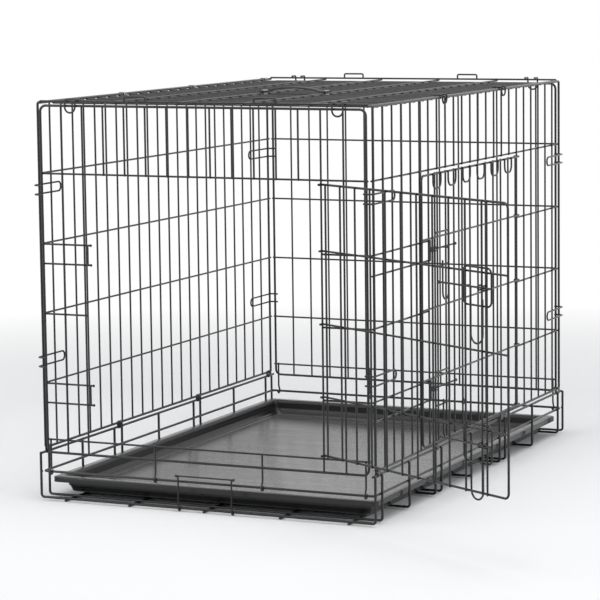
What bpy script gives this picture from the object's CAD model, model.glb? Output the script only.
"""Looks for the folding wire dog crate: round coated wires, a moulded tray and a pale studio.

Metres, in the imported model's frame. The sizes are those of the CAD pieces that each look replaces.
"""

from math import cos, pi, radians, sin

import bmesh
import bpy
from mathutils import Matrix, Vector


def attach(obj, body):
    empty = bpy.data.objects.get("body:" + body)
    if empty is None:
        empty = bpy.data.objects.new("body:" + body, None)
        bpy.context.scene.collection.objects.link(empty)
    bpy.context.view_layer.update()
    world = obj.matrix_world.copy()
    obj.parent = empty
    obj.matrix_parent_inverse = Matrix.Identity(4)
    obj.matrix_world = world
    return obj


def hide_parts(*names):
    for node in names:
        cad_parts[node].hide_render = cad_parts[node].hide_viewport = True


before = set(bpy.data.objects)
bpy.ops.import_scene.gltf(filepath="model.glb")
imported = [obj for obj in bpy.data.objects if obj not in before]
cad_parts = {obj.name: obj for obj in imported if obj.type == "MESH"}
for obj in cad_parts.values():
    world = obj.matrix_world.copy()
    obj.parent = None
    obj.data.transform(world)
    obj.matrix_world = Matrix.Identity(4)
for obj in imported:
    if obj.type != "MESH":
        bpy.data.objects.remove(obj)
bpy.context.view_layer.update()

# Overall size of the crate, on the centrelines of its wires
WIDTH = 0.700
LENGTH = 1.045
HEIGHT = 0.775

# Wire radii
MESH_WIRE = 0.0019
FRAME_WIRE = 0.0025
DOOR_FRAME_WIRE = 0.0022
LATCH_WIRE = 0.0018
GUIDE_WIRE = 0.0016
HOOK_WIRE = 0.0018
STOP_WIRE = 0.0016

# Fits
WELD_BITE = 0.0008
WELD_SINK = 0.0010
END_PROUD = 0.0005
SEAT_GAP = 0.0004
RUNNING_GAP = 0.0005

# Fineness of the looks: steps of bends and arcs, and rings and sides of balls
BEND_STEPS = 6
PANEL_BEND_STEPS = 8
HANGING_LOOP_STEPS = 10
STAPLE_STEPS = 14
EYE_STEPS = 18
LOOP_STEPS = 20
BAND_STEPS = 12
TRAY_CORNER_STEPS = 10
STRAP_STEPS = 40
STRAP_CORNER_STEPS = 3
FLOOR_SIDES = 128
TUBE_FINENESS = 4
NUGGET_FINENESS = (4, 8)
KEEPER_FINENESS = (6, 10)
KNOB_FINENESS = (8, 12)
STRAIGHT_ENOUGH = 0.01
MERGE_DISTANCE = 0.000005
WIRE_CREASE = radians(38)
MOULDED_CREASE = radians(50)

# Small departures from the CAD pieces
END_DOME = 0.55
NUGGET = 0.00215
FLOOR_WIRE_LIFT = 0.00002
DOOR_TRIM = 0.0006
LIFT_LOOP_TRIM = 0.0001

# Base frame
FLOOR_WIRE_INSETS = (0.050, 0.190)
HOOP_PAIR_GAP = 0.032
HOOP_BEND = 0.006
LOWER_RAIL_HEIGHT = 0.057
LOWER_RAIL_BEND = 0.0080
SIDE_RAIL_HEIGHT = 0.094

# Panels
END_PITCHES = 15
SIDE_PITCHES = 23
END_PANEL_INSET = 0.010
SIDE_PANEL_INSET = 0.008
END_PANEL_BEND = 0.012
SIDE_PANEL_BEND = 0.004
END_PANEL_FOOT = 0.095
SIDE_PANEL_FOOT = 0.1025
SILL_HEIGHT = 0.120
ROW_HEIGHTS = (0.2303, 0.3665, 0.5023, 0.6388)
KEEPER_DROP = 0.038
KEEPER_REACH = 0.012
KEEPER_BAR_REACH = 0.007
KEEPER_BALL = 0.0028
LEG_INSET = 0.0165
LEG_PITCHES = (5, 10)
LEG_BESIDE_UPRIGHT = 0.0085
LEG_SET_BACK = 0.0005
LEG_CURL_START = radians(155)
LEG_CURL_END = radians(390)
LEG_STRAIGHT_END = 2.2

# Doors
DOOR_PITCHES = 11
FRONT_DOOR_FIRST_PITCH = 2
SIDE_DOOR_FIRST_PITCH = 6
DOOR_OVERLAPS = {"front": 0.0235, "side": 0.047}
DOOR_BEND = 0.010
DOOR_ROW_RISE = 0.006
DOOR_TOP_DROP = 0.008
DOOR_BARS = 11
DOOR_FIRST_BAR = 0.011
FRONT_DOOR_OPEN = radians(150.6)
DOOR_EYE_START = radians(-115)
DOOR_EYE_END = radians(100)
DOOR_EYE_NECK = 0.012
HANGING_LOOP_COUNT = 6
HANGING_LOOP_SPACING = 0.079
HANGING_LOOP_WIDTH = 0.040
HANGING_LOOP_DEPTH = 0.028
HANGING_LOOP_ROUNDING = 0.35

# Latches, measured back from the doorway's far upright
GUIDE_NEAR = 0.042
GUIDE_FAR = 0.029
GUIDE_BAR_RISE = 0.0006
BOLT_TIP = 0.014
BOLT_CROSSING = 0.0815
BOLT_TAIL = 0.150
BOLT_KNOB = 0.0032
BOLT_BEND = 0.004
PULL_WIDTH = 0.032
PULL_DROP = 0.100
PULL_FREE_END = 0.022
BRACKET_NEAR = 0.095
BRACKET_FAR = 0.020
BRACKET_RISE = 0.033
BRACKET_BEND = 0.010

# Corner hooks
HOOK_HEIGHTS = {"lower": 0.272, "upper": 0.607}
HOOK_LENGTH = 0.098
HOOK_SPREAD = 0.018
HOOK_TIP = 0.005
HOOK_BEND = 0.006

# Clips
CLIP_THICKNESS = 0.0010
CLIP_WIDTH = 0.012
CLIP_ROUNDING = 0.0003
MIDDLE_CLIP_PITCHES = (6.75, 14.75)
END_CLIP_FROM_HOOP = 0.0095
TOP_CLIP_PITCHES = (7.5, 14.5, 22.5)

# Top panel
TOP_RAIL_COUNT = 6
TOP_SIDE_GAP = 0.0075
LIFT_LOOP_RISE = 0.010
LIFT_LOOP_BEND = 0.003
LIFT_LOOP_PITCHES = (4, 10)
TOP_HOOK_WIDTH = 0.022
TOP_HOOK_DROP = 0.013
TOP_HOOK_INSET = 0.016
TOP_HOOK_BEND = 0.003
END_HOOK_PLACES = {"left": -WIDTH / 2 + 0.078, "right": WIDTH / 2 - 0.064}
SIDE_HOOK_PLACES = {"front": -0.170, "back": 0.157}

# Tray
TRAY_SIDE_ROOM = 0.005
TRAY_END_ROOM = 0.0205
TRAY_RIM_HEIGHT = 0.042
TRAY_WALL = 0.0022
TRAY_RIM = 0.016
TRAY_LIP = 0.008
TRAY_SLOPE = 0.010
TRAY_CORNER = 0.010
TRAY_SETBACK = 0.0015
TRAY_LEDGE_HEIGHT = 0.0045
TRAY_LEDGE = 0.0040
TRAY_RIDGES = (0.20, 0.38, 0.56)
TRAY_TREAD = 0.0016
TRAY_TREAD_FALL = 0.0002

# Roundings of the tray's section, as steps inwards and upwards from the edge that they round
RIM_OUTER_EDGE = ((0.0, -0.0012), (0.0004, -0.0004), (0.0012, 0.0))
RIM_INNER_EDGE = ((-0.0012, 0.0), (-0.0003, -0.0004), (0.0003, -0.0014))
LEDGE_FOOT = ((0.0, 0.0010), (0.0006, 0.0002))
LEDGE_EDGE = ((-0.0006, 0.0), (0.0, -0.0008))
FLOOR_FOOT = ((0.0010, 0.0022), (0.0022, 0.0006), (0.0045, 0.0))
UNDERSIDE_EDGE = ((0.0016, 0.0010), (-0.0004, 0.0040))
UNDERSIDE_START = 0.0060
RIM_UNDERSIDE_EDGE = ((0.0008, -0.0016), (0.0, 0.0))

# Tray stop
STOP_PLACE = 0.0045
STOP_WIDTH = 0.113
STOP_HEIGHT = 0.069
STOP_KNOB = 0.003
STOP_OVERHANG = 0.004
STOP_EYE_START = radians(20)
STOP_EYE_END = radians(-180)

# Carry handle
HANDLE_PITCH = 9.5
HANDLE_STRAP_WIDTH = 0.026
HANDLE_STRAP = 0.0030
HANDLE_RISE = 0.008
HANDLE_END = 0.012
HANDLE_CLIP_WIDTH = 0.018
STRAP_ROUNDING = 0.0011
STRAP_ARCH = 0.6

# Materials: colours from dark to pale, roughness from smooth to dull, noise as cells per metre,
# detail and stretch, and relief as depth and strength
NOISE_ROUGHNESS = 0.6
NOISE_SPAN = (0.3, 0.7)
COAT_COLOURS = ((0.007, 0.007, 0.008), (0.014, 0.014, 0.015))
COAT_ROUGHNESS = (0.26, 0.38)
COAT_NUMBERS = {"Specular IOR Level": 0.24, "Coat Weight": 0.35, "Coat Roughness": 0.14}
COAT_PATCHES = (45.0, 3.0)
COAT_PEEL = (900.0, 2.0)
COAT_RELIEF = (0.00006, 0.35)
ZINC_COLOURS = ((0.24, 0.24, 0.25), (0.38, 0.38, 0.39))
ZINC_ROUGHNESS = (0.24, 0.46)
ZINC_NUMBERS = {"Metallic": 1.0}
ZINC_PATCHES = (120.0, 3.0)
ZINC_LINES = (260.0, 3.0, (1.0, 1.0, 9.0))
ZINC_RELIEF = (0.00004, 0.3)
TRAY_COLOURS = ((0.014, 0.014, 0.015), (0.085, 0.085, 0.088))
TRAY_WEAR = (0.6, 1.0)
TRAY_WEAR_HEIGHTS = (0.0004, 0.0016)
TRAY_ROUGHNESS = (0.19, 0.27)
TRAY_NUMBERS = {"Specular IOR Level": 0.36}
TRAY_SMEARS = (22.0, 3.0, (0.35, 2.2, 1.0))
TRAY_GRAIN = (1400.0, 2.0)
TRAY_RELIEF = (0.00008, 0.3)
STRAP_COLOURS = ((0.010, 0.010, 0.010), (0.020, 0.020, 0.021))
STRAP_ROUGHNESS = (0.48, 0.62)
STRAP_NUMBERS = {"Specular IOR Level": 0.3}
STRAP_WEAR = (60.0, 3.0)
STRAP_GRAIN = (700.0, 4.0)
STRAP_RELIEF = (0.00025, 0.4)

# Studio
WHITE = (1.0, 1.0, 1.0)
FLOOR_COLOUR = (0.80, 0.80, 0.80)
FLOOR_NUMBERS = {"Roughness": 0.75, "Specular IOR Level": 0.2}
FLOOR_RADIUS = 9.0
FADE_START = 1.1
FADE_END = 2.6
WORLD_COLOUR = (0.9, 0.95, 1.0)
WORLD_LIGHT = 0.35

# Lamps: name, place, side length and watts
LAMPS = (
    ("overhead", (0.3, -0.4, 3.4), 3.0, 95.0),
    ("left_front", (-3.2, -3.2, 2.0), 2.2, 70.0),
    ("right_side", (4.0, -1.4, 1.8), 2.2, 60.0),
)

# Camera, fitted to the photograph
PICTURE_SIDE = 600
SENSOR_WIDTH = 36.0
CAMERA_AZIMUTH = radians(24.38)
CAMERA_ELEVATION = radians(6.74)
CAMERA_ROLL = radians(-0.67)
CAMERA_TARGET_HEIGHT = 0.3925
CAMERA_DISTANCE = 5.433
FOCAL_PIXELS = 2634.8
SHIFT_RIGHT_PIXELS = 15.77
SHIFT_UP_PIXELS = 23.07

# Directions
X_AXIS = (1.0, 0.0, 0.0)
Y_AXIS = (0.0, 1.0, 0.0)
Z_AXIS = (0.0, 0.0, 1.0)

# Derived places
MESH_CROSS = 2 * MESH_WIRE - WELD_BITE
BASE_CROSS = 2 * FRAME_WIRE - WELD_BITE
FLOOR_LEVEL = FRAME_WIRE * cos(pi / 6)
HOOP_LEVEL = FLOOR_LEVEL + BASE_CROSS
HOOP_SIDE = WIDTH / 2 + BASE_CROSS
END_HOOP_PLACE = LENGTH / 2 + BASE_CROSS
BASE_END = END_HOOP_PLACE + FRAME_WIRE + END_PROUD
END_PANEL_TOP = HEIGHT - 2 * FRAME_WIRE - SEAT_GAP
END_HALF_WIDTH = WIDTH / 2 - END_PANEL_INSET
SIDE_HALF_LENGTH = LENGTH / 2 - SIDE_PANEL_INSET
END_PITCH = 2 * END_HALF_WIDTH / END_PITCHES
SIDE_PITCH = 2 * SIDE_HALF_LENGTH / SIDE_PITCHES
DOORWAY_TOP = ROW_HEIGHTS[-1]
DOOR_TOP = DOORWAY_TOP - DOOR_TOP_DROP
DOOR_ROWS = [height + DOOR_ROW_RISE for height in ROW_HEIGHTS[:-1]]
DOOR_STANDOFF = MESH_WIRE + RUNNING_GAP + DOOR_FRAME_WIRE
DOOR_BAR_STANDOFF = DOOR_STANDOFF - MESH_WIRE - DOOR_FRAME_WIRE + WELD_BITE
KEEPER_ROWS = (ROW_HEIGHTS[0], ROW_HEIGHTS[2])
BOLT_HEIGHTS = {
    "lower": KEEPER_ROWS[0] - KEEPER_DROP / 2,
    "upper": KEEPER_ROWS[1] - KEEPER_DROP / 2,
}
BOLT_STANDOFF = -(MESH_WIRE + RUNNING_GAP + LATCH_WIRE)
PULL_STANDOFF = DOOR_STANDOFF + DOOR_FRAME_WIRE + RUNNING_GAP + LATCH_WIRE
BRACKET_STANDOFF = DOOR_BAR_STANDOFF + MESH_WIRE + LATCH_WIRE - WELD_BITE
TRAY_WIDTH = WIDTH - 2 * TRAY_SIDE_ROOM
TRAY_LENGTH = LENGTH - 2 * TRAY_END_ROOM
TRAY_UNDERSIDE = HOOP_LEVEL + FRAME_WIRE + SEAT_GAP
SIDE_CLIP_TOP = SIDE_PANEL_FOOT + FRAME_WIRE + SEAT_GAP + CLIP_THICKNESS
TOP_END_LEVEL = HEIGHT + MESH_CROSS
TOP_CROSS_LEVEL = HEIGHT - MESH_CROSS
TOP_RAIL_SIDE = WIDTH / 2 - TOP_SIDE_GAP
TOP_END_PLACE = LENGTH / 2 - MESH_CROSS


def bent(points, bend, closed=False, steps=BEND_STEPS):
    """The path through these corners, with each corner rounded to this centreline radius."""
    corners = [Vector(point) for point in points]
    count = len(corners)
    path = []
    for i, corner in enumerate(corners):
        if not closed and i in (0, count - 1):
            path.append(corner)
            continue
        into = (corner - corners[i - 1]).normalized()
        out = (corners[(i + 1) % count] - corner).normalized()
        turn = into.angle(out)
        if turn < STRAIGHT_ENOUGH:
            path.append(corner)
            continue
        cut = bend * sin(turn / 2) / cos(turn / 2)
        inward = (out - into).normalized()
        centre = corner + inward * (bend / cos(turn / 2))
        start = corner - into * cut - centre
        axis = into.cross(out).normalized()
        for step in range(steps + 1):
            path.append(centre + Matrix.Rotation(turn * step / steps, 3, axis) @ start)
    return path


def arc(centre, radius, start, end, steps, across, up):
    """Points on an arc about a centre, in the plane of two unit vectors."""
    points = []
    for step in range(steps + 1):
        angle = start + (end - start) * step / steps
        spot = Vector(centre) + Vector(across) * radius * cos(angle)
        points.append(spot + Vector(up) * radius * sin(angle))
    return points


def rectangle(left, right, low, high, point):
    """The corners of a rectangle, in order round it, as points that a function makes."""
    return [point(left, low), point(right, low), point(right, high), point(left, high)]


def staple(left, right, start, turn, point):
    """The corners of a wire that goes out, across and back, as points that a function makes."""
    return [point(left, start), point(left, turn), point(right, turn), point(right, start)]


def in_scene(name, data):
    """A new object that shows this data."""
    made = bpy.data.objects.new(name, data)
    bpy.context.scene.collection.objects.link(made)
    return made


def finished(shape, name):
    """A mesh of this name made of the shape, which is then let go."""
    mesh = bpy.data.meshes.new(name)
    shape.to_mesh(mesh)
    shape.free()
    return mesh


def bridge(shape, ring, following):
    """Joins two rings of one count with four-sided faces."""
    count = len(ring)
    for i in range(count):
        j = (i + 1) % count
        shape.faces.new((ring[i], ring[j], following[j], following[i]))


def tubes(paths, radius, closed=False):
    """Round wires along these paths, with domed ends where they are open."""
    curve = bpy.data.curves.new("wire", "CURVE")
    curve.dimensions = "3D"
    curve.bevel_depth = radius
    curve.bevel_resolution = TUBE_FINENESS
    curve.use_fill_caps = True
    for path in paths:
        spots = [(Vector(spot), 1.0) for spot in path]
        if not closed:
            spots = domed(spots, radius)
        spline = curve.splines.new("POLY")
        spline.points.add(len(spots) - 1)
        spline.use_cyclic_u = closed
        for point, (spot, swell) in zip(spline.points, spots):
            point.co = (*spot, 1.0)
            point.radius = swell
    drawn = in_scene("wire", curve)
    bpy.context.view_layer.update()
    graph = bpy.context.evaluated_depsgraph_get()
    mesh = bpy.data.meshes.new_from_object(drawn.evaluated_get(graph))
    bpy.data.objects.remove(drawn, do_unlink=True)
    return mesh


def domed(spots, radius):
    """Adds a narrowing point before each end, so that a cut wire's end is slightly rounded."""
    first, second = spots[0][0], spots[1][0]
    last, before = spots[-1][0], spots[-2][0]
    into = (second - first).normalized() * radius * (1 - END_DOME)
    back = (before - last).normalized() * radius * (1 - END_DOME)
    head = [(first, END_DOME), (first + into, 1.0)]
    tail = [(last + back, 1.0), (last, END_DOME)]
    return head + spots[1:-1] + tail


def balls(places, radius, fineness):
    """Small round lumps at these places, of this many rings and sides."""
    rings, sides = fineness
    shape = bmesh.new()
    for place in places:
        at = Matrix.Translation(place)
        bmesh.ops.create_uvsphere(
            shape, u_segments=sides, v_segments=rings, radius=radius, matrix=at
        )
    return finished(shape, "balls")


def nuggets(places):
    """The swelling of metal where two welded wires meet, at the middle of each weld."""
    return balls(places, NUGGET, NUGGET_FINENESS)


def dress(node, body, meshes, look, place=None, crease=WIRE_CREASE):
    """Joins meshes into one piece that stands for a CAD node and moves with its body.

    Its look is a material and the name of its slot.
    """
    material, slot = look
    shape = bmesh.new()
    for mesh in meshes:
        shape.from_mesh(mesh)
        bpy.data.meshes.remove(mesh)
    bmesh.ops.remove_doubles(shape, verts=shape.verts, dist=MERGE_DISTANCE)
    if place is not None:
        shape.transform(place)
    mesh = finished(shape, node + "_look")
    mesh.polygons.foreach_set("use_smooth", [True] * len(mesh.polygons))
    mesh.set_sharp_from_angle(angle=crease)
    mesh.materials.append(material)
    made = in_scene(node + "_look", mesh)
    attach(made, body)
    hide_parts(node)


def end_place(pitch):
    """X of a vertical of the end panels."""
    return -END_HALF_WIDTH + END_PITCH * pitch


def side_place(pitch):
    """Y of a vertical of the side panels and of a cross wire of the top."""
    return -SIDE_HALF_LENGTH + SIDE_PITCH * pitch


END_PANEL = (END_HALF_WIDTH, END_PITCHES, end_place, END_PANEL_FOOT, END_PANEL_TOP, END_PANEL_BEND)
SIDE_PANEL = (SIDE_HALF_LENGTH, SIDE_PITCHES, side_place, SIDE_PANEL_FOOT, HEIGHT, SIDE_PANEL_BEND)


def end_panel_point(facing):
    """Turns (across, inward, height) into a point of the end panel at -1 front or +1 back."""
    return lambda across, inward, height: (across, facing * (LENGTH / 2 - inward), height)


def side_panel_point(facing):
    """Turns (along, inward, height) into a point of the side panel at -1 left or +1 right."""
    return lambda along, inward, height: (facing * (WIDTH / 2 - inward), along, height)


def weld_spots(point, places, heights):
    """The middle of each weld between a panel's uprights and its rows."""
    return [point(place, MESH_CROSS / 2, height) for place in places for height in heights]


def panel_rows(point, half, heights):
    """The rows that run the whole width of a panel, from edge wire to edge wire."""
    edge = half + FRAME_WIRE + END_PROUD
    return [(point(-edge, MESH_CROSS, z), point(edge, MESH_CROSS, z)) for z in heights]


def hoop_places():
    """Where the hoops stand: a pair at each end and at each middle clip, and one between pairs."""
    end = END_HOOP_PLACE - HOOP_PAIR_GAP / 2
    middles = [-end, *[side_place(pitch) for pitch in MIDDLE_CLIP_PITCHES], end]
    pairs = [place + side * HOOP_PAIR_GAP / 2 for place in middles for side in (-1, 1)]
    singles = [(near + far) / 2 for near, far in zip(middles, middles[1:])]
    return sorted([*pairs, *singles])


def side_clip_places():
    """Where the side panels' hinge clips sit: between the hoops of each pair."""
    end = END_HOOP_PLACE - HOOP_PAIR_GAP + END_CLIP_FROM_HOOP
    return [-end, *[side_place(pitch) for pitch in MIDDLE_CLIP_PITCHES], end]


def floor_wire_places():
    """Where the floor wires lie: two in from each side and one in the middle."""
    places = [WIDTH / 2 - inset for inset in FLOOR_WIRE_INSETS]
    return [*[-place for place in places], 0.0, *places]


def dress_base_frame(steel):
    """Floor wires under hoops, with the lower rail and the side hinge rails round them."""
    top = SIDE_RAIL_HEIGHT + WELD_SINK
    hoops = []
    spots = []
    for place in hoop_places():
        corners = staple(-HOOP_SIDE, HOOP_SIDE, top, HOOP_LEVEL, lambda x, z: (x, place, z))
        hoops.append(bent(corners, HOOP_BEND))
        spots += [(x, place, FLOOR_LEVEL + BASE_CROSS / 2) for x in floor_wire_places()]
        for side in (-1, 1):
            x = side * (HOOP_SIDE - BASE_CROSS / 2)
            spots += [(x, place, LOWER_RAIL_HEIGHT), (x, place, SIDE_RAIL_HEIGHT)]
    low = FRAME_WIRE + FLOOR_WIRE_LIFT
    straight = [(place, low) for place in floor_wire_places()]
    straight += [(side, SIDE_RAIL_HEIGHT) for side in (-WIDTH / 2, WIDTH / 2)]
    wires = [((x, -BASE_END, z), (x, BASE_END, z)) for x, z in straight]
    sides = (-WIDTH / 2, WIDTH / 2, -LENGTH / 2, LENGTH / 2)
    corners = rectangle(*sides, lambda x, y: (x, y, LOWER_RAIL_HEIGHT))
    ring = bent(corners, LOWER_RAIL_BEND, closed=True)
    meshes = [
        tubes([*hoops, *wires], FRAME_WIRE),
        tubes([ring], FRAME_WIRE, closed=True),
        nuggets(spots),
    ]
    dress("base_frame", "crate", meshes, steel)


def panel_frame(point, half, foot, top, bend):
    """The closed edge wire of a panel."""
    corners = rectangle(-half, half, foot, top, lambda x, z: point(x, 0.0, z))
    return bent(corners, bend, closed=True, steps=PANEL_BEND_STEPS)


def rail_leg(point, across):
    """A leg of an end panel: down from its sill, outside the base's lower rail and up inside."""
    reach = FRAME_WIRE + 2 * SEAT_GAP + MESH_WIRE
    level = LOWER_RAIL_HEIGHT
    inward = Vector(point(across, 1.0, 0.0)) - Vector(point(across, 0.0, 0.0))
    centre = Vector(point(across, 0.0, level))
    curl = arc(centre, reach, LEG_CURL_START, LEG_CURL_END, EYE_STEPS, inward, Z_AXIS)
    head = point(across, LEG_SET_BACK, SILL_HEIGHT + MESH_WIRE + END_PROUD)
    foot = point(across, LEG_SET_BACK, level + LEG_STRAIGHT_END * reach)
    return [head, foot, *curl]


def rail_legs(point):
    """The legs of an end panel: one at each side and two beside uprights."""
    edge = WIDTH / 2 - LEG_INSET
    middle = [end_place(pitch) + LEG_BESIDE_UPRIGHT for pitch in LEG_PITCHES]
    return [rail_leg(point, across) for across in (-edge, *middle, edge)]


def full_panel(point, size, heights, legs):
    """The meshes of a panel without a doorway."""
    half, count, place, foot, top, bend = size
    places = [place(i) for i in range(1, count)]
    uprights = [(point(spot, 0.0, foot), point(spot, 0.0, top)) for spot in places]
    rows = panel_rows(point, half, heights)
    return [
        tubes([panel_frame(point, half, foot, top, bend)], FRAME_WIRE, closed=True),
        tubes([*uprights, *rows, *legs], MESH_WIRE),
        nuggets(weld_spots(point, [-half, *places, half], heights)),
    ]


def dress_back_panel(steel):
    """The end panel without a doorway, which folds."""
    point = end_panel_point(1)
    meshes = full_panel(point, END_PANEL, (SILL_HEIGHT, *ROW_HEIGHTS), rail_legs(point))
    dress("back_panel", "back_wall", meshes, steel)


def dress_left_panel(steel):
    """The long panel without a doorway."""
    meshes = full_panel(side_panel_point(-1), SIDE_PANEL, ROW_HEIGHTS, [])
    dress("left_side_panel", "crate", meshes, steel)


def strip_rows(point, start, end, keeper_side):
    """The rows of a strip beside a doorway, and on the door's free side what keeps the bolts."""
    rows = []
    knobs = []
    bars = []
    near = start - FRAME_WIRE - END_PROUD
    for height in ROW_HEIGHTS[:-1]:
        reach = MESH_WIRE + END_PROUD
        if keeper_side and height in KEEPER_ROWS:
            reach = KEEPER_REACH
            low = height - KEEPER_DROP
            rows.append((point(near, MESH_CROSS, low), point(end + reach, MESH_CROSS, low)))
            knobs += [point(end + reach, MESH_CROSS, level) for level in (low, height)]
            bar = end + KEEPER_BAR_REACH
            bars.append((point(bar, 0.0, low - WELD_SINK), point(bar, 0.0, height + WELD_SINK)))
        rows.append((point(near, MESH_CROSS, height), point(end + reach, MESH_CROSS, height)))
    return rows, knobs, bars


def dress_doorway_panel(name, point, size, first, sills, legs, steel):
    """A panel with a doorway: full uprights beside it and short ones above it."""
    half, count, place, foot, top, bend = size
    last = first + DOOR_PITCHES
    uprights = []
    spots = []
    for i in range(1, count):
        beside = i <= first or i >= last
        low = foot if beside else DOORWAY_TOP - 2 * WELD_SINK
        uprights.append((point(place(i), 0.0, low), point(place(i), 0.0, top)))
        spots += weld_spots(point, [place(i)], ROW_HEIGHTS if beside else ROW_HEIGHTS[-1:])
        spots += weld_spots(point, [place(i)], sills if beside else ())
    spots += weld_spots(point, [-half, half], (*sills, *ROW_HEIGHTS))
    rows = panel_rows(point, half, (*sills, DOORWAY_TOP))
    near_rows, knobs, bars = strip_rows(point, -half, place(first), True)

    def mirrored(along, inward, height):
        return point(-along, inward, height)

    far_rows = strip_rows(mirrored, -half, -place(last), False)[0]
    paths = [*uprights, *bars, *rows, *near_rows, *far_rows, *legs]
    meshes = [
        tubes([panel_frame(point, half, foot, top, bend)], FRAME_WIRE, closed=True),
        tubes(paths, MESH_WIRE),
        balls(knobs, KEEPER_BALL, KEEPER_FINENESS),
        nuggets(spots),
    ]
    dress(name, "crate", meshes, steel)


def lift_loop(facing, pitch):
    """A raised loop over the top's end wire, one pitch wide."""
    place = facing * TOP_END_PLACE
    foot = TOP_END_LEVEL
    high = TOP_END_LEVEL + LIFT_LOOP_RISE - LIFT_LOOP_TRIM
    ends = (end_place(pitch), end_place(pitch + 1))
    return bent(staple(*ends, foot, high, lambda x, z: (x, place, z)), LIFT_LOOP_BEND)


def dress_top_panel(steel):
    """The lid: long rails over cross wires, with a wire on top at each end."""
    end = LENGTH / 2 - WELD_SINK
    step = 2 * TOP_RAIL_SIDE / (TOP_RAIL_COUNT - 1)
    places = [-TOP_RAIL_SIDE + step * i for i in range(TOP_RAIL_COUNT)]
    edge_rails = [((x, -end, HEIGHT), (x, end, HEIGHT)) for x in (places[0], places[-1])]
    rails = [((x, -end, HEIGHT), (x, end, HEIGHT)) for x in places[1:-1]]
    across = [(side_place(i), TOP_CROSS_LEVEL) for i in range(1, SIDE_PITCHES)]
    across += [(-TOP_END_PLACE, TOP_END_LEVEL), (TOP_END_PLACE, TOP_END_LEVEL)]
    crosses = [((-TOP_RAIL_SIDE, y, z), (TOP_RAIL_SIDE, y, z)) for y, z in across]
    loops = [lift_loop(facing, pitch) for facing in (-1, 1) for pitch in LIFT_LOOP_PITCHES]
    spots = [(x, y, (HEIGHT + z) / 2) for x in places for y, z in across]
    meshes = [
        tubes(edge_rails, FRAME_WIRE),
        tubes([*crosses, *rails], MESH_WIRE),
        tubes(loops, HOOK_WIRE),
        nuggets(spots),
    ]
    dress("top_panel", "lid", meshes, steel)


def door_row(height, end):
    """A door's row, from its hinge eye round the upright to its free edge."""
    centre = (0.0, 0.0, height)
    eye = arc(centre, DOOR_STANDOFF, DOOR_EYE_START, DOOR_EYE_END, EYE_STEPS, X_AXIS, Y_AXIS)
    flipped = [(-point.x, point.y, point.z) for point in eye]
    neck = (DOOR_EYE_NECK, DOOR_STANDOFF, height)
    return [*flipped, neck, (end, DOOR_STANDOFF, height)]


def door_frame(end, foot):
    """The door's edge wire: its top and bottom bars, each with a hinge eye, and its free edge."""
    top = door_row(DOOR_TOP, end)
    low = door_row(foot, end)
    corners = bent([top[-2], top[-1], low[-1], low[-2]], DOOR_BEND)
    return [*top[:-2], *corners, *reversed(low[:-2])]


def hanging_loops(end):
    """Small loops that hang from the side door's top bar."""
    middle = end / 2
    first = middle - HANGING_LOOP_SPACING * (HANGING_LOOP_COUNT - 1) / 2
    low = DOOR_TOP - HANGING_LOOP_DEPTH
    high = DOOR_TOP + DOOR_FRAME_WIRE + END_PROUD
    out = DOOR_STANDOFF + DOOR_FRAME_WIRE + MESH_WIRE - WELD_BITE
    bend = HANGING_LOOP_WIDTH * HANGING_LOOP_ROUNDING
    paths = []
    for i in range(HANGING_LOOP_COUNT):
        left = first + HANGING_LOOP_SPACING * i - HANGING_LOOP_WIDTH / 2
        right = left + HANGING_LOOP_WIDTH
        corners = staple(left, right, high, low, lambda x, z: (x, out, z))
        paths.append(bent(corners, bend, steps=HANGING_LOOP_STEPS))
    return paths


def latch_bracket(doorway, height):
    """The closed loop on the door's bars round a bolt's crossing."""
    along = (doorway - BRACKET_NEAR, doorway - BRACKET_FAR)
    levels = (height - BRACKET_RISE, height + BRACKET_RISE)
    corners = rectangle(*along, *levels, lambda x, z: (x, BRACKET_STANDOFF, z))
    return bent(corners, BRACKET_BEND, closed=True)


def dress_door(name, body, doorway, overlap, foot, place, loops, steel):
    """A door in its own frame: X runs from the hinge to the free edge and Y faces out."""
    end = doorway + overlap - DOOR_TRIM
    rows = [door_row(height, end) for height in DOOR_ROWS]
    step = (doorway - GUIDE_NEAR - DOOR_FIRST_BAR) / (DOOR_BARS - 1)
    places = [DOOR_FIRST_BAR + step * i for i in range(DOOR_BARS)]
    places.append(doorway - GUIDE_FAR)
    past = DOOR_FRAME_WIRE + END_PROUD
    low, high = foot - past, DOOR_TOP + past
    bars = [((x, DOOR_BAR_STANDOFF, low), (x, DOOR_BAR_STANDOFF, high)) for x in places]
    middle = (DOOR_BAR_STANDOFF + DOOR_STANDOFF) / 2
    spots = [(x, middle, z) for x in places for z in (foot, *DOOR_ROWS, DOOR_TOP)]
    spots += [(end, DOOR_STANDOFF, z) for z in DOOR_ROWS]
    paths = [*rows, *bars]
    if loops:
        paths += hanging_loops(end)
    brackets = [latch_bracket(doorway, height) for height in BOLT_HEIGHTS.values()]
    meshes = [
        tubes([door_frame(end, foot)], DOOR_FRAME_WIRE),
        tubes(paths, MESH_WIRE),
        tubes(brackets, LATCH_WIRE, closed=True),
        nuggets(spots),
    ]
    dress(name, body, meshes, steel, place)


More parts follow.
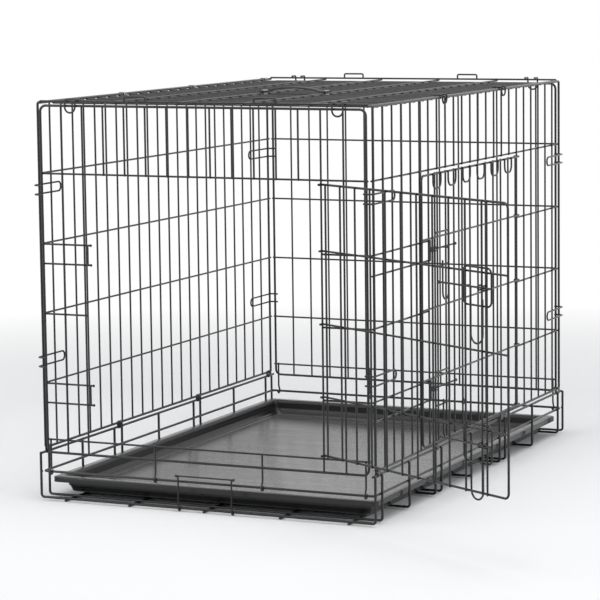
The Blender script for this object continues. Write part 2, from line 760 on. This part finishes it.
def dress_guide(name, body, doorway, height, place, steel):
    """Two staples that hold a bolt behind the door's bars, joined by a short bar."""
    radius = LATCH_WIRE + RUNNING_GAP + GUIDE_WIRE
    start = DOOR_BAR_STANDOFF - MESH_WIRE - SEAT_GAP
    paths = []
    for spot in (doorway - GUIDE_NEAR, doorway - GUIDE_FAR):
        centre = (spot, BOLT_STANDOFF, height)
        turn = arc(centre, radius, pi / 2, 3 * pi / 2, STAPLE_STEPS, Y_AXIS, Z_AXIS)
        paths.append([(spot, start, height + radius), *turn, (spot, start, height - radius)])
    back = BOLT_STANDOFF - radius - GUIDE_BAR_RISE / 2
    level = height + GUIDE_BAR_RISE
    bar = (
        (doorway - GUIDE_NEAR - GUIDE_WIRE, back, level),
        (doorway - GUIDE_FAR + GUIDE_WIRE, back, level),
    )
    dress(name, body, [tubes([*paths, bar], GUIDE_WIRE)], steel, place)


def dress_bolt(name, body, doorway, height, place, steel):
    """A sliding bolt: its rod and tail behind the bars and its pull loop outside."""
    crossing = doorway - BOLT_CROSSING
    far = crossing + PULL_WIDTH
    turn = PULL_WIDTH / 2
    low = height - PULL_DROP + turn
    corners = [
        (doorway - BOLT_TIP, BOLT_STANDOFF, height),
        (crossing, BOLT_STANDOFF, height),
        (crossing, PULL_STANDOFF, height),
        (crossing, PULL_STANDOFF, low),
    ]
    stem = bent(corners, BOLT_BEND)
    centre = (crossing + turn, PULL_STANDOFF, low)
    loop = arc(centre, turn, pi, 2 * pi, LOOP_STEPS, X_AXIS, Z_AXIS)
    end = (far, PULL_STANDOFF, height - PULL_FREE_END)
    tail_end = (doorway - BOLT_TAIL, BOLT_STANDOFF, height)
    tail = (tail_end, (crossing + BOLT_BEND, BOLT_STANDOFF, height))
    meshes = [
        tubes([[*stem[:-1], *loop, end], tail], LATCH_WIRE),
        balls([tail_end], BOLT_KNOB, KNOB_FINENESS),
    ]
    dress(name, body, meshes, steel, place)


def dress_doors(steel):
    """Both doors with their guides and bolts. The front door stands open, the side door is shut."""
    front_hinge = (end_place(FRONT_DOOR_FIRST_PITCH + DOOR_PITCHES), -LENGTH / 2, 0.0)
    side_hinge = (WIDTH / 2, side_place(SIDE_DOOR_FIRST_PITCH + DOOR_PITCHES), 0.0)
    side_foot = SIDE_CLIP_TOP + RUNNING_GAP + DOOR_FRAME_WIRE
    settings = (
        ("front", END_PITCH, SILL_HEIGHT + DOOR_ROW_RISE, front_hinge, pi + FRONT_DOOR_OPEN),
        ("side", SIDE_PITCH, side_foot, side_hinge, -pi / 2),
    )
    for side, pitch, foot, hinge, turned in settings:
        doorway = pitch * DOOR_PITCHES
        place = Matrix.Translation(hinge) @ Matrix.Rotation(turned, 4, "Z")
        gate = f"{side}_gate"
        overlap = DOOR_OVERLAPS[side]
        dress_door(f"{side}_door", gate, doorway, overlap, foot, place, side == "side", steel)
        for level, height in BOLT_HEIGHTS.items():
            latch = f"{side}_door_{level}_latch"
            dress_guide(f"{latch}_guide", gate, doorway, height, place, steel)
            dress_bolt(f"{latch}_bolt", f"{side}_{level}_bolt", doorway, height, place, steel)


def dress_corner_hooks(steel):
    """Hairpins along the side panels whose tips reach round the corners to hold the end panels."""
    out = WIDTH / 2 + FRAME_WIRE + SEAT_GAP + HOOK_WIRE
    past = LENGTH / 2 + FRAME_WIRE + SEAT_GAP + HOOK_WIRE
    tip = END_HALF_WIDTH - HOOK_TIP
    turn = HOOK_SPREAD / 2
    back = LENGTH / 2 - HOOK_LENGTH + turn
    for end_name, end in (("front", -1), ("back", 1)):
        for side_name, side in (("left", -1), ("right", 1)):
            for level, height in HOOK_HEIGHTS.items():
                corners = ((tip, past), (out, past), (out, back))
                upper = bent([(side * x, end * y, height + turn) for x, y in corners], HOOK_BEND)
                centre = (side * out, end * back, height)
                inward = (0.0, end, 0.0)
                round_end = arc(centre, turn, pi / 2, 3 * pi / 2, LOOP_STEPS, inward, Z_AXIS)
                lower = [(p.x, p.y, p.z - 2 * turn) for p in reversed(upper[:-1])]
                name = f"{end_name}_{side_name}_{level}_corner_hook"
                path = [*upper[:-1], *round_end, *lower]
                dress(name, "crate", [tubes([path], HOOK_WIRE)], steel)


def band_mesh(apart, radius, width, origin, tilt):
    """A flat strip bent round two parallel wires, with its edges rounded."""
    rings = []
    section = [
        (radius, -width / 2 + CLIP_ROUNDING),
        (radius + CLIP_ROUNDING, -width / 2),
        (radius + CLIP_THICKNESS - CLIP_ROUNDING, -width / 2),
        (radius + CLIP_THICKNESS, -width / 2 + CLIP_ROUNDING),
    ]
    section += [(size, -along) for size, along in reversed(section)]
    shape = bmesh.new()
    for side in (1, -1):
        for step in range(BAND_STEPS + 1):
            angle = pi * step / BAND_STEPS - pi / 2
            ring = []
            for size, along in section:
                x = side * (apart / 2 + size * cos(angle))
                y = side * size * sin(angle)
                ring.append(shape.verts.new((x, y, along)))
            rings.append(ring)
    for ring, following in zip(rings, [*rings[1:], rings[0]]):
        bridge(shape, ring, following)
    bmesh.ops.recalc_face_normals(shape, faces=shape.faces)
    place = Matrix.Translation(origin) @ Matrix.Rotation(tilt, 4, "Y")
    shape.transform(place @ Matrix.Rotation(pi / 2, 4, "X"))
    return finished(shape, "band")


def dress_clips(steel, zinc):
    """The bands that hinge the side panels on the base rails and the top on the left panel."""
    inside = FRAME_WIRE + SEAT_GAP
    apart = SIDE_PANEL_FOOT - SIDE_RAIL_HEIGHT
    for side_name, side in (("left", -1), ("right", 1)):
        for i, along in enumerate(side_clip_places(), 1):
            place = (side * WIDTH / 2, along, SIDE_RAIL_HEIGHT + apart / 2)
            mesh = band_mesh(apart, inside, CLIP_WIDTH, place, pi / 2)
            dress(f"{side_name}_side_hinge_clip_{i}", "crate", [mesh], steel)
    for i, pitch in enumerate(TOP_CLIP_PITCHES, 1):
        place = (-WIDTH / 2 + TOP_SIDE_GAP / 2, side_place(pitch), HEIGHT)
        mesh = band_mesh(TOP_SIDE_GAP, inside, CLIP_WIDTH, place, 0.0)
        dress(f"top_hinge_clip_{i}", "lid", [mesh], zinc)


def top_hook_path(start, past, low, level):
    """A ring in its own frame: X across it, Y outwards, over the end wire and round outside it."""
    half = TOP_HOOK_WIDTH / 2
    centre = (0.0, past, low + half)
    ring = arc(centre, half, pi, 2 * pi, LOOP_STEPS, X_AXIS, Z_AXIS)
    left = bent([(-half, start, level), (-half, past, level), ring[0]], TOP_HOOK_BEND)
    right = bent([ring[-1], (half, past, level), (half, start, level)], TOP_HOOK_BEND)
    return [*left[:-1], *ring, *right[1:]]


def dress_top_hooks(steel):
    """Rings on the top that reach over the end panels and the right panel."""
    end_past = LENGTH / 2 + FRAME_WIRE + SEAT_GAP + HOOK_WIRE
    end_low = END_PANEL_TOP - TOP_HOOK_DROP
    level = TOP_END_LEVEL + MESH_WIRE + SEAT_GAP + HOOK_WIRE
    path = top_hook_path(LENGTH / 2 - TOP_HOOK_INSET, end_past, end_low, level)
    for end_name, end in (("front", -1), ("back", 1)):
        for side_name, place in END_HOOK_PLACES.items():
            turned = [(place + p.x, end * p.y, p.z) for p in path]
            name = f"{end_name}_{side_name}_top_hook"
            dress(name, "lid", [tubes([turned], HOOK_WIRE)], steel)
    side_past = WIDTH / 2 + FRAME_WIRE + RUNNING_GAP + HOOK_WIRE
    side_low = HEIGHT - TOP_HOOK_DROP
    level = HEIGHT + FRAME_WIRE + SEAT_GAP + HOOK_WIRE
    path = top_hook_path(WIDTH / 2 - TOP_HOOK_INSET, side_past, side_low, level)
    for end_name, place in SIDE_HOOK_PLACES.items():
        turned = [(p.y, place + p.x, p.z) for p in path]
        name = f"right_{end_name}_top_hook"
        dress(name, "lid", [tubes([turned], HOOK_WIRE)], steel)


def tray_outline(inset, height):
    """The tray's outline with rounded corners, moved in by an inset, at one height."""
    half_x = TRAY_WIDTH / 2 - inset - TRAY_CORNER
    half_y = TRAY_LENGTH / 2 - inset - TRAY_CORNER
    points = []
    for i, (sign_x, sign_y) in enumerate(((1, 1), (-1, 1), (-1, -1), (1, -1))):
        for step in range(TRAY_CORNER_STEPS + 1):
            angle = pi / 2 * (i + step / TRAY_CORNER_STEPS)
            x = sign_x * half_x + TRAY_CORNER * cos(angle)
            y = sign_y * half_y + TRAY_CORNER * sin(angle)
            points.append((x, y, height))
    return points


def rounding(inset, height, edge):
    """The points that round an edge of the tray's section at this inset and height."""
    return [(inset + inwards, height + upwards) for inwards, upwards in edge]


def tray_topside():
    """The tray's section as (inset, height), from its lip over the rim and down to its floor."""
    top = TRAY_RIM_HEIGHT
    inner = TRAY_RIM + TRAY_WALL
    floor = TRAY_UNDERSIDE + TRAY_WALL
    drop = top - floor
    section = [
        (0.0, top - TRAY_LIP - TRAY_WALL),
        *rounding(0.0, top, RIM_OUTER_EDGE),
        *rounding(inner, top, RIM_INNER_EDGE),
    ]
    for share in TRAY_RIDGES:
        height = top - drop * share
        inset = inner + TRAY_SLOPE * share
        section.append((inset - TRAY_TREAD / 2, height))
        section.append((inset + TRAY_TREAD / 2, height - TRAY_TREAD_FALL))
    ledge = floor + TRAY_LEDGE_HEIGHT
    start = inner + TRAY_SLOPE * (top - ledge) / drop
    section += rounding(start, ledge, LEDGE_FOOT)
    section += rounding(start + TRAY_LEDGE, ledge, LEDGE_EDGE)
    section += rounding(start + TRAY_LEDGE, floor, FLOOR_FOOT)
    return section


def tray_underside():
    """The tray's section as (inset, height), from under its floor up to the inside of its lip."""
    under_rim = TRAY_RIM_HEIGHT - TRAY_WALL
    drop = under_rim - TRAY_UNDERSIDE
    foot = TRAY_RIM + TRAY_SLOPE
    section = [(foot + TRAY_WALL + UNDERSIDE_START, TRAY_UNDERSIDE)]
    section += rounding(foot, TRAY_UNDERSIDE, UNDERSIDE_EDGE)
    for share in reversed(TRAY_RIDGES):
        height = under_rim - drop * share
        inset = TRAY_RIM + TRAY_SLOPE * share
        section.append((inset + TRAY_TREAD / 2, height - TRAY_TREAD_FALL))
        section.append((inset - TRAY_TREAD / 2, height))
    section += rounding(TRAY_RIM, under_rim, RIM_UNDERSIDE_EDGE)
    return [*section, (TRAY_WALL, under_rim), (TRAY_WALL, under_rim - TRAY_LIP)]


def dress_tray(plastic):
    """The moulded tray: a thin rim, sloping walls, a small ledge at their foot and a flat floor."""
    topside = tray_topside()
    floor = len(topside)
    shape = bmesh.new()
    rings = []
    for inset, height in [*topside, *tray_underside()]:
        rings.append([shape.verts.new(spot) for spot in tray_outline(inset, height)])
    for i, (ring, following) in enumerate(zip(rings, [*rings[1:], rings[0]]), 1):
        if i != floor:
            bridge(shape, ring, following)
    shape.faces.new(rings[floor - 1])
    shape.faces.new(list(reversed(rings[floor])))
    bmesh.ops.recalc_face_normals(shape, faces=shape.faces)
    bmesh.ops.triangulate(shape, faces=[face for face in shape.faces if len(face.verts) > 4])
    shape.transform(Matrix.Translation((0.0, TRAY_SETBACK, 0.0)))
    mesh = finished(shape, "tray")
    dress("tray", "pull_out_tray", [mesh], plastic, crease=MOULDED_CREASE)


def dress_tray_stop(steel):
    """The wire gate that holds the tray in, hooked round the first hoop."""
    place = Matrix.Translation((STOP_PLACE, -END_HOOP_PLACE, HOOP_LEVEL))
    radius = FRAME_WIRE + SEAT_GAP + STOP_WIRE
    high = STOP_HEIGHT - HOOP_LEVEL
    legs = []
    for side in (-STOP_WIDTH / 2, STOP_WIDTH / 2):
        centre = (side, 0.0, 0.0)
        eye = arc(centre, radius, STOP_EYE_START, STOP_EYE_END, EYE_STEPS, Y_AXIS, Z_AXIS)
        legs.append([*eye, (side, -radius, high)])
    reach = STOP_WIDTH / 2 + STOP_OVERHANG
    bar = ((-reach, -radius, high), (reach, -radius, high))
    meshes = [tubes([*legs, bar], STOP_WIRE), balls(bar, STOP_KNOB, KNOB_FINENESS)]
    dress("tray_stop", "tray_gate", meshes, steel, place)


def strap_line():
    """The strap's underside as (x, rise): flat on its seats and arched between them."""
    half = TOP_RAIL_SIDE / (TOP_RAIL_COUNT - 1)
    end = half + HANDLE_END / 2
    start = half - HANDLE_END
    line = [(-end, 0.0)]
    for step in range(STRAP_STEPS + 1):
        share = step / STRAP_STEPS
        line.append((2 * start * share - start, HANDLE_RISE * sin(pi * share) ** STRAP_ARCH))
    return [*line, (end, 0.0)]


def strap_section():
    """The strap's cross section as (y, height), with rounded edges."""
    half_width = HANDLE_STRAP_WIDTH / 2 - STRAP_ROUNDING
    half_depth = HANDLE_STRAP / 2 - STRAP_ROUNDING
    section = []
    for i, (side_y, side_z) in enumerate(((-1, -1), (1, -1), (1, 1), (-1, 1))):
        for step in range(STRAP_CORNER_STEPS + 1):
            angle = pi / 2 * (i - 2 + step / STRAP_CORNER_STEPS)
            y = side_y * half_width + STRAP_ROUNDING * cos(angle)
            z = HANDLE_STRAP / 2 + side_z * half_depth + STRAP_ROUNDING * sin(angle)
            section.append((y, z))
    return section


def dress_carry_handle(strap, zinc):
    """The plastic strap on the top and the two bands at its ends."""
    place = side_place(HANDLE_PITCH)
    seat = HEIGHT + MESH_WIRE + SEAT_GAP
    section = strap_section()
    shape = bmesh.new()
    rings = [
        [shape.verts.new((x, place + y, seat + rise + z)) for y, z in section]
        for x, rise in strap_line()
    ]
    for ring, following in zip(rings, rings[1:]):
        bridge(shape, ring, following)
    shape.faces.new(rings[0])
    shape.faces.new(rings[-1])
    bmesh.ops.recalc_face_normals(shape, faces=shape.faces)
    mesh = finished(shape, "strap")
    dress("carry_handle", "lid", [mesh], strap, crease=MOULDED_CREASE)
    half = TOP_RAIL_SIDE / (TOP_RAIL_COUNT - 1)
    apart = MESH_WIRE + SEAT_GAP + HANDLE_STRAP / 2
    for side_name, side in (("left", -1), ("right", 1)):
        spot = (side * half, place, HEIGHT + apart / 2)
        mesh = band_mesh(apart, MESH_WIRE + SEAT_GAP, HANDLE_CLIP_WIDTH, spot, pi / 2)
        dress(f"handle_clip_{side_name}", "lid", [mesh], zinc)


def new_material(name, numbers):
    """A material with its node tree and its Principled shader, on which these numbers are set."""
    material = bpy.data.materials.new(name)
    material.use_nodes = True
    tree = material.node_tree
    shader = tree.nodes["Principled BSDF"]
    for socket, number in numbers.items():
        shader.inputs[socket].default_value = number
    return material, tree, shader


def object_space(tree):
    """The place of the shaded point in its object's own space."""
    return tree.nodes.new("ShaderNodeTexCoord").outputs["Object"]


def add_noise(tree, scale, detail, stretch=(1.0, 1.0, 1.0)):
    """Noise in object space, in a number of cells per metre."""
    mapping = tree.nodes.new("ShaderNodeMapping")
    mapping.inputs["Scale"].default_value = stretch
    tree.links.new(object_space(tree), mapping.inputs["Vector"])
    noise = tree.nodes.new("ShaderNodeTexNoise")
    noise.inputs["Scale"].default_value = scale
    noise.inputs["Detail"].default_value = detail
    noise.inputs["Roughness"].default_value = NOISE_ROUGHNESS
    tree.links.new(mapping.outputs["Vector"], noise.inputs["Vector"])
    return noise.outputs["Fac"]


def map_range(tree, value, start, end, low=NOISE_SPAN[0], high=NOISE_SPAN[1]):
    """Turns a value between low and high into one between start and end."""
    node = tree.nodes.new("ShaderNodeMapRange")
    node.inputs["From Min"].default_value = low
    node.inputs["From Max"].default_value = high
    node.inputs["To Min"].default_value = start
    node.inputs["To Max"].default_value = end
    tree.links.new(value, node.inputs["Value"])
    return node.outputs["Result"]


def combine(tree, operation, first, second):
    """One value made of two by a mathematical operation."""
    node = tree.nodes.new("ShaderNodeMath")
    node.operation = operation
    tree.links.new(first, node.inputs[0])
    tree.links.new(second, node.inputs[1])
    return node.outputs[0]


def paint(tree, shader, share, colours):
    """Colours the shader between two colours, by a share that a node gives."""
    node = tree.nodes.new("ShaderNodeMix")
    node.data_type = "RGBA"
    for name, colour in zip("AB", colours):
        node.inputs[name].default_value = (*colour, 1.0)
    tree.links.new(share, node.inputs["Factor"])
    tree.links.new(node.outputs["Result"], shader.inputs["Base Color"])


def roughen(tree, shader, pattern, roughness):
    """Makes the shader rough between two values, by a noise pattern."""
    tree.links.new(map_range(tree, pattern, *roughness), shader.inputs["Roughness"])


def add_bump(tree, shader, height, distance, strength):
    """Fine relief on the shader's surface."""
    bump = tree.nodes.new("ShaderNodeBump")
    bump.inputs["Strength"].default_value = strength
    bump.inputs["Distance"].default_value = distance
    tree.links.new(height, bump.inputs["Height"])
    tree.links.new(bump.outputs["Normal"], shader.inputs["Normal"])


def coated_steel():
    """Black coat on steel wire: satin, with faint orange peel and uneven gloss."""
    material, tree, shader = new_material("coated_steel", COAT_NUMBERS)
    peel = add_noise(tree, *COAT_PEEL)
    patches = add_noise(tree, *COAT_PATCHES)
    paint(tree, shader, map_range(tree, patches, 0.0, 1.0), COAT_COLOURS)
    roughen(tree, shader, patches, COAT_ROUGHNESS)
    add_bump(tree, shader, peel, *COAT_RELIEF)
    return material


def zinc_strip():
    """Plated strip steel with fine rolling lines and dull patches."""
    material, tree, shader = new_material("zinc_strip", ZINC_NUMBERS)
    lines = add_noise(tree, *ZINC_LINES)
    patches = add_noise(tree, *ZINC_PATCHES)
    paint(tree, shader, map_range(tree, patches, 0.0, 1.0), ZINC_COLOURS)
    roughen(tree, shader, lines, ZINC_ROUGHNESS)
    add_bump(tree, shader, lines, *ZINC_RELIEF)
    return material


def tray_plastic():
    """Moulded black plastic: grained, with a floor that streaks of wear have made paler."""
    material, tree, shader = new_material("moulded_plastic", TRAY_NUMBERS)
    grain = add_noise(tree, *TRAY_GRAIN)
    smears = add_noise(tree, *TRAY_SMEARS)
    parts = tree.nodes.new("ShaderNodeSeparateXYZ")
    tree.links.new(object_space(tree), parts.inputs["Vector"])
    low, high = [TRAY_UNDERSIDE + TRAY_WALL + above for above in TRAY_WEAR_HEIGHTS]
    level = map_range(tree, parts.outputs["Z"], 1.0, 0.0, low, high)
    wear = combine(tree, "MULTIPLY", level, map_range(tree, smears, *TRAY_WEAR))
    paint(tree, shader, wear, TRAY_COLOURS)
    roughen(tree, shader, smears, TRAY_ROUGHNESS)
    add_bump(tree, shader, grain, *TRAY_RELIEF)
    return material


def strap_plastic():
    """Moulded black strap with a leather-like grain."""
    material, tree, shader = new_material("strap_plastic", STRAP_NUMBERS)
    grain = add_noise(tree, *STRAP_GRAIN)
    wear = add_noise(tree, *STRAP_WEAR)
    paint(tree, shader, map_range(tree, wear, 0.0, 1.0), STRAP_COLOURS)
    roughen(tree, shader, wear, STRAP_ROUGHNESS)
    add_bump(tree, shader, grain, *STRAP_RELIEF)
    return material


def seen_share(tree):
    """One for rays from the camera and for those that metal and gloss send on, else zero."""
    path = tree.nodes.new("ShaderNodeLightPath")
    share = path.outputs["Is Camera Ray"]
    for name in ("Is Glossy Ray", "Is Transmission Ray"):
        share = combine(tree, "MAXIMUM", share, path.outputs[name])
    return share


def floor_material():
    """A pale floor that keeps the crate's shadow and fades into the white backdrop further out."""
    material, tree, shader = new_material("pale_floor", FLOOR_NUMBERS)
    shader.inputs["Base Color"].default_value = (*FLOOR_COLOUR, 1.0)
    length = tree.nodes.new("ShaderNodeVectorMath")
    length.operation = "LENGTH"
    tree.links.new(object_space(tree), length.inputs[0])
    fade = map_range(tree, length.outputs["Value"], 0.0, 1.0, FADE_START, FADE_END)
    share = combine(tree, "MULTIPLY", fade, seen_share(tree))
    white = tree.nodes.new("ShaderNodeEmission")
    white.inputs["Color"].default_value = (*WHITE, 1.0)
    mix = tree.nodes.new("ShaderNodeMixShader")
    tree.links.new(share, mix.inputs["Fac"])
    tree.links.new(shader.outputs["BSDF"], mix.inputs[1])
    tree.links.new(white.outputs["Emission"], mix.inputs[2])
    tree.links.new(mix.outputs["Shader"], tree.nodes["Material Output"].inputs["Surface"])
    return material


def make_floor():
    """A large round floor at z = 0."""
    shape = bmesh.new()
    bmesh.ops.create_circle(shape, cap_ends=True, segments=FLOOR_SIDES, radius=FLOOR_RADIUS)
    floor = in_scene("floor", finished(shape, "floor"))
    floor.data.materials.append(floor_material())


def make_world():
    """White behind the crate for the camera and for reflections, and a soft cool light."""
    world = bpy.data.worlds.new("studio")
    bpy.context.scene.world = world
    world.use_nodes = True
    tree = world.node_tree
    tree.nodes.clear()
    mix = tree.nodes.new("ShaderNodeMixShader")
    out = tree.nodes.new("ShaderNodeOutputWorld")
    tree.links.new(seen_share(tree), mix.inputs["Fac"])
    for i, (colour, strength) in enumerate(((WORLD_COLOUR, WORLD_LIGHT), (WHITE, 1.0)), 1):
        node = tree.nodes.new("ShaderNodeBackground")
        node.inputs["Color"].default_value = (*colour, 1.0)
        node.inputs["Strength"].default_value = strength
        tree.links.new(node.outputs["Background"], mix.inputs[i])
    tree.links.new(mix.outputs["Shader"], out.inputs["Surface"])


def make_lamps():
    """Soft square lamps, aimed at the middle of the crate."""
    middle = Vector((0.0, 0.0, HEIGHT / 2))
    for name, place, size, power in LAMPS:
        light = bpy.data.lights.new(name, "AREA")
        light.shape = "SQUARE"
        light.size = size
        light.energy = power
        lamp = in_scene(name, light)
        lamp.location = place
        lamp.rotation_euler = (middle - Vector(place)).to_track_quat("-Z", "Y").to_euler()


def make_camera():
    """The camera at the photograph's place, with the frame's centre moved by its shift."""
    azimuth, elevation, roll = CAMERA_AZIMUTH, CAMERA_ELEVATION, CAMERA_ROLL
    away = Vector((sin(azimuth) * cos(elevation), -cos(azimuth) * cos(elevation), sin(elevation)))
    right = (-away).cross(Vector(Z_AXIS)).normalized()
    up = right.cross(-away)
    turned_right = right * cos(roll) + up * sin(roll)
    turned_up = up * cos(roll) - right * sin(roll)
    view = bpy.data.cameras.new("photo_view")
    view.sensor_width = SENSOR_WIDTH
    view.sensor_fit = "HORIZONTAL"
    view.lens = FOCAL_PIXELS / PICTURE_SIDE * SENSOR_WIDTH
    view.shift_x = -SHIFT_RIGHT_PIXELS / PICTURE_SIDE
    view.shift_y = -SHIFT_UP_PIXELS / PICTURE_SIDE
    camera = in_scene("photo_view", view)
    place = Matrix((turned_right, turned_up, away)).transposed().to_4x4()
    target = Vector((0.0, 0.0, CAMERA_TARGET_HEIGHT))
    place.translation = target + away * CAMERA_DISTANCE
    camera.matrix_world = place
    bpy.context.scene.camera = camera


coat = coated_steel()
steel = (coat, "coated_wire")
zinc = (zinc_strip(), "bare_clip")
dress_base_frame(steel)
front = end_panel_point(-1)
right = side_panel_point(1)
legs = rail_legs(front)
sills = (SILL_HEIGHT,)
dress_doorway_panel("front_panel", front, END_PANEL, FRONT_DOOR_FIRST_PITCH, sills, legs, steel)
dress_doorway_panel("right_side_panel", right, SIDE_PANEL, SIDE_DOOR_FIRST_PITCH, (), [], steel)
dress_back_panel(steel)
dress_left_panel(steel)
dress_top_panel(steel)
dress_doors(steel)
dress_corner_hooks(steel)
dress_clips((coat, "coated_clip"), zinc)
dress_top_hooks(steel)
dress_tray((tray_plastic(), "tray_plastic"))
dress_tray_stop(steel)
dress_carry_handle((strap_plastic(), "strap_plastic"), zinc)
make_floor()
make_world()
make_lamps()
make_camera()
bpy.context.scene.view_settings.view_transform = "Standard"
